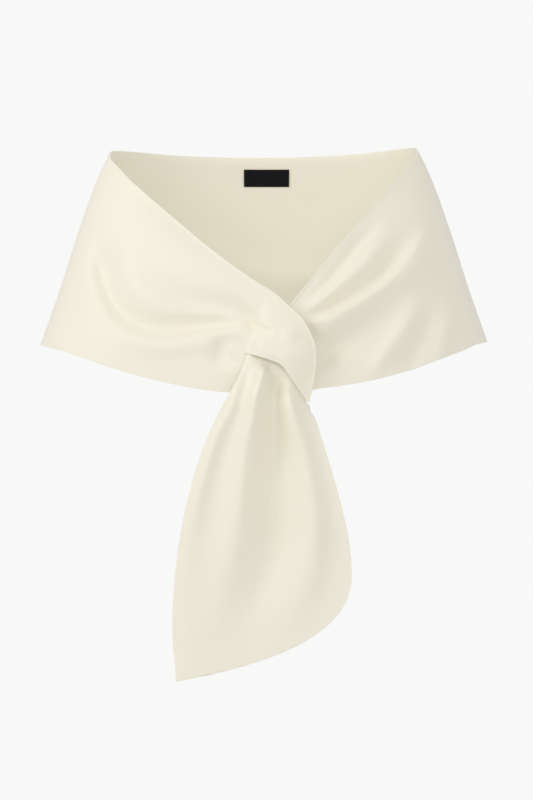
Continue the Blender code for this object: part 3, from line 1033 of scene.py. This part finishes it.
@dataclass(frozen=True)
class Studio:
    """A pale bowl for a floor and backdrop, soft light from the left and the front, and the camera."""

    floor_height: float = -0.80
    reach: float = 3.6
    bowl_radius: float = 1.6
    wall_height: float = 4.0
    steps: int = 64
    bends: int = 13
    merge: float = 0.0001
    shade: float = 0.94
    tint: Colour = (1.0, 1.0, 0.995, 1.0)
    sky: Colour = (1.0, 1.0, 1.0, 1.0)
    fill: float = 0.70
    key: SoftLight = SoftLight("key", 1.4, 18.0, (-2.1, -1.5, 1.3), (0.0, 0.0, -0.3))
    front: SoftLight = SoftLight("front", 1.2, 11.0, (0.4, -3.2, 0.2), (0.0, 0.0, -0.2))
    lens: float = 112.5
    sensor: float = 36.0
    camera_place: tuple[float, float, float] = (0.00224, -2.8, -0.27776)

    def stage(self) -> None:
        """Make the bowl from a grid, whose columns run out from the middle and whose rows go round."""
        bends = np.linspace(0, np.pi / 2, self.bends)
        radii = [0.0, *(self.reach + self.bowl_radius * np.sin(bends)), self.reach + self.bowl_radius]
        heights = [0.0, *(self.bowl_radius * (1 - np.cos(bends))), self.wall_height - self.floor_height]
        bm = bmesh.new()
        bmesh.ops.create_grid(bm, x_segments=len(radii) - 1, y_segments=self.steps, size=GRID_HALF)
        for vert in bm.verts:
            ring = round((vert.co.x + GRID_HALF) * (len(radii) - 1))
            turn = 2 * np.pi * (vert.co.y + GRID_HALF)
            x, y = radii[ring] * np.cos(turn), radii[ring] * np.sin(turn)
            vert.co = (x, y, self.floor_height + heights[ring])
        bmesh.ops.remove_doubles(bm, verts=bm.verts[:], dist=self.merge)
        bmesh.ops.recalc_face_normals(bm, faces=bm.faces[:])
        as_piece("floor", bm, self.paper())

    def paper(self) -> bpy.types.Material:
        """Make the bowl's pale finish, as bright to the eye all over.

        Returns:
            The material.
        """
        made = bpy.data.materials.new("pale_floor")
        made.use_nodes = True
        made.node_tree.nodes.clear()
        board = Board(made.node_tree)
        path = board.add("ShaderNodeLightPath", {})
        seen = board.add("ShaderNodeEmission", {"Color": self.tint, "Strength": self.shade})
        cast = board.add("ShaderNodeEmission", {"Strength": self.fill})
        mixed = board.add(
            "ShaderNodeMixShader",
            {0: path.outputs["Is Camera Ray"], 1: cast.outputs[0], 2: seen.outputs[0]},
        )
        board.add("ShaderNodeOutputMaterial", {"Surface": mixed.outputs[0]})
        return made

    def light(self) -> None:
        """Hang the lights and set the sky."""
        self.key.hang()
        self.front.hang()
        world = bpy.data.worlds.new("sky")
        world.use_nodes = True
        background = world.node_tree.nodes["Background"]
        background.inputs["Strength"].default_value = self.fill
        background.inputs["Color"].default_value = self.sky
        bpy.context.scene.world = world

    def view(self) -> None:
        """Set the camera up, level with the middle of the stole."""
        lens = bpy.data.cameras.new("camera")
        lens.lens = self.lens
        lens.sensor_width = self.sensor
        camera = bpy.data.objects.new("camera", lens)
        camera.location = self.camera_place
        camera.rotation_euler = (np.pi / 2, 0.0, 0.0)
        bpy.context.scene.collection.objects.link(camera)
        bpy.context.scene.camera = camera
        bpy.context.scene.view_settings.view_transform = "Standard"


@dataclass
class NeckLabel:
    """The bare woven label inside the back, its ends folded under."""

    figure: Figure = Figure()
    width: float = 0.0528
    height: float = 0.0197
    top: float = -0.0105
    shift: float = 0.0023
    stand: float = 0.0020
    folded_end: float = 0.0045
    folded_rise: float = 0.0004
    folded_slope: float = 0.0008
    columns: int = 133
    cross_rows: int = 25
    wall: Wall = Wall(0.0007, 0.0002, 1)
    side_reach: float = 0.4  # of the sine of the turn from the centre back
    side_samples: int = 401

    def rule(self, sides: np.ndarray, shares: np.ndarray) -> np.ndarray:
        """Lay points of the label.

        Args:
            sides: -1 at its left end, 1 at its right.
            shares: 0 at its top edge, 1 at its bottom.

        Returns:
            The points.
        """
        height = self.top - self.height * shares
        x = self.shift + self.width / 2 * sides
        fine = np.linspace(-self.side_reach, self.side_reach, self.side_samples)
        side = np.interp(x / self.figure.section(height)[:, 0], self.figure.squared(fine), fine)
        from_end = self.width / 2 * (1 - np.abs(sides))
        rise = self.folded_rise * eased((self.folded_end - from_end) / self.folded_slope + 0.5)
        return self.figure.lay(180 + np.degrees(np.arcsin(side)), height, -self.stand - rise)[0]

    def build(self, material: bpy.types.Material) -> bpy.types.Object:
        """Make the label.

        Args:
            material: its finish.

        Returns:
            The piece.
        """
        sides, shares = np.linspace(-1, 1, self.columns), np.linspace(0, 1, self.cross_rows)
        piece = ClothGrid("neck_label", sides, shares, self.rule, wall=self.wall).build(material)
        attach(piece, BODY)
        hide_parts("label")
        return piece


def main() -> None:
    """Build the stole piece by piece."""
    logging.basicConfig(level=logging.INFO, format="%(name)s: %(message)s")
    weave = Weave().build()
    satin = IVORY_SATIN.build(weave)
    for part, finish in ((Shawl(), satin), (Tail(), satin), (NeckLabel(), BLACK_WOVEN.build(weave))):
        piece = part.build(finish)
        LOG.info("%s: %d faces", piece.name, len(piece.data.polygons))
    studio = Studio()
    studio.stage()
    studio.light()
    studio.view()


if __name__ == "__main__":
    main()
